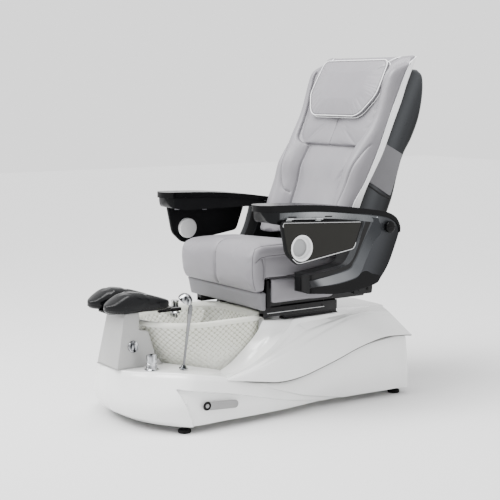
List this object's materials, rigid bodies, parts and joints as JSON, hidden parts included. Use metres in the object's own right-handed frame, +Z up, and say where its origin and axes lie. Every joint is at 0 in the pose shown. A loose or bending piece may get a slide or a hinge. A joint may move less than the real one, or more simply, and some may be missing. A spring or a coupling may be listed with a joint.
{
  "type": "pedicure spa chair",
  "caption": "Pedicure spa chair: reclining padded salon seat with flip-up side trays on a moulded foot-bath base with jet, valve, hand shower and footrest.",
  "frame": {"origin": "on the floor under the middle of the chair's box", "axes": "+Z up, -Y the way the sitter faces (towards the foot bath), +X the sitter's left"},
  "size_m": [0.91, 1.554, 1.514],
  "materials": {
    "white_shell": "gloss white gelcoat",
    "clear_bowl": "clear cast resin with an embossed diamond pattern",
    "satin_silver": "satin silver-grey paint",
    "chrome": "polished chrome",
    "steel": "zinc-plated steel",
    "satin_black": "satin black powder coat",
    "matte_black_plastic": "black moulded plastic",
    "gloss_black": "polished black plastic",
    "black_pad": "semi-gloss black skinned foam",
    "rubber": "black rubber",
    "grey_leather": "warm light-grey synthetic leather with fine grain",
    "grey_cloth": "mid-grey synthetic leather",
    "charcoal_shell": "satin charcoal moulded plastic",
    "arm_grey": "satin metallic grey paint on plastic",
    "tray_dark": "satin dark olive-grey plastic",
    "white_cup": "gloss white plastic"
  },
  "bodies": {
    "base": {"base_shell": "white_shell", "rear_hood": "white_shell", "tub_bowl": "clear_bowl", "tub_drain": "chrome", "jet_cover": "white_shell", "jet_motor": "matte_black_plastic", "drain_pump": "matte_black_plastic", "foot_front_L": "rubber", "foot_front_R": "rubber", "foot_rear_L": "rubber", "foot_rear_R": "rubber", "foot_rail_front": "steel", "foot_rail_rear": "steel", "footrest_pillar": "satin_silver", "button_bezel": "chrome", "valve_flange": "chrome", "filler_body": "chrome", "sprayer_flange": "chrome", "blank_badge": "satin_silver", "rail_lower_L": "satin_black", "rail_lower_R": "satin_black"},
    "seat": {"rail_upper_L": "satin_black", "rail_upper_R": "satin_black", "seat_frame": "satin_black", "recline_pin": "steel", "front_bracket_L": "satin_black", "front_bracket_R": "satin_black", "seat_cushion": "grey_leather", "front_skirt": "grey_leather", "side_panel_L": "grey_leather", "side_panel_R": "grey_leather", "arm_bracket_L": "satin_black", "arm_bracket_R": "satin_black"},
    "back": {"back_cushion": "grey_leather", "back_shell": "charcoal_shell", "side_patch_L": "grey_cloth", "side_patch_R": "grey_cloth", "head_pillow": "grey_leather"},
    "arm_L": {"arm_inner_L": "matte_black_plastic", "arm_outer_L": "arm_grey", "arm_cap_L": "gloss_black"},
    "arm_R": {"arm_inner_R": "matte_black_plastic", "arm_outer_R": "arm_grey", "arm_cap_R": "gloss_black"},
    "knob_L": {"arm_knob_L": "gloss_black"},
    "knob_R": {"arm_knob_R": "gloss_black"},
    "tray_L": {"tray_panel_L": "tray_dark", "cup_holder_L": "white_cup", "tray_hinge_L": "steel"},
    "tray_R": {"tray_panel_R": "tray_dark", "cup_holder_R": "white_cup", "tray_hinge_R": "steel"},
    "footrest": {"footrest_plate": "satin_black", "footrest_pad_L": "black_pad", "footrest_pad_R": "black_pad"},
    "jet_button": {"jet_button": "chrome"},
    "valve": {"valve_handle": "chrome"},
    "sprayer": {"sprayer_handle": "chrome", "sprayer_hose": "steel", "sprayer_face": "matte_black_plastic"}
  },
  "joints": [
    {"name": "seat_slide", "type": "slide", "parent": "base", "child": "seat", "axis": [0, 1, 0], "range_m": [-0.08, 0.08]},
    {"name": "recline", "type": "hinge", "parent": "seat", "child": "back", "pos_m": [0, 0.375, 0.555], "axis": [-1, 0, 0], "range_deg": [0, 30]},
    {"name": "arm_lift_L", "type": "hinge", "parent": "seat", "child": "arm_L", "pos_m": [0.36, 0.406, 0.787], "axis": [-1, 0, 0], "range_deg": [0, 70]},
    {"name": "arm_lift_R", "type": "hinge", "parent": "seat", "child": "arm_R", "pos_m": [-0.36, 0.406, 0.787], "axis": [-1, 0, 0], "range_deg": [0, 70]},
    {"name": "arm_knob_turn_L", "type": "hinge", "parent": "arm_L", "child": "knob_L", "pos_m": [0.43, 0.406, 0.787], "axis": [1, 0, 0], "range_deg": [0, 90]},
    {"name": "arm_knob_turn_R", "type": "hinge", "parent": "arm_R", "child": "knob_R", "pos_m": [-0.43, 0.406, 0.787], "axis": [-1, 0, 0], "range_deg": [0, 90]},
    {"name": "tray_flip_L", "type": "hinge", "parent": "arm_L", "child": "tray_L", "pos_m": [0.4425, 0, 0.846], "axis": [0, -0.9988, 0.0499], "range_deg": [0, 90]},
    {"name": "tray_flip_R", "type": "hinge", "parent": "arm_R", "child": "tray_R", "pos_m": [-0.4425, 0, 0.846], "axis": [0, 0.9988, -0.0499], "range_deg": [0, 90]},
    {"name": "footrest_slide", "type": "slide", "parent": "base", "child": "footrest", "axis": [0, 1, 0], "range_m": [-0.04, 0.04]},
    {"name": "jet_button_push", "type": "slide", "parent": "base", "child": "jet_button", "axis": [-0.9978, 0, -0.0665], "range_m": [0, 0.004], "stiffness_N_per_m": 900},
    {"name": "valve_turn", "type": "hinge", "parent": "base", "child": "valve", "pos_m": [0.15, -0.606, 0.261], "axis": [0, 0, 1], "range_deg": [0, 90]},
    {"name": "sprayer_lift", "type": "slide", "parent": "base", "child": "sprayer", "axis": [0.0839, 0.0881, 0.9926], "range_m": [0, 0.18]}
  ]
}
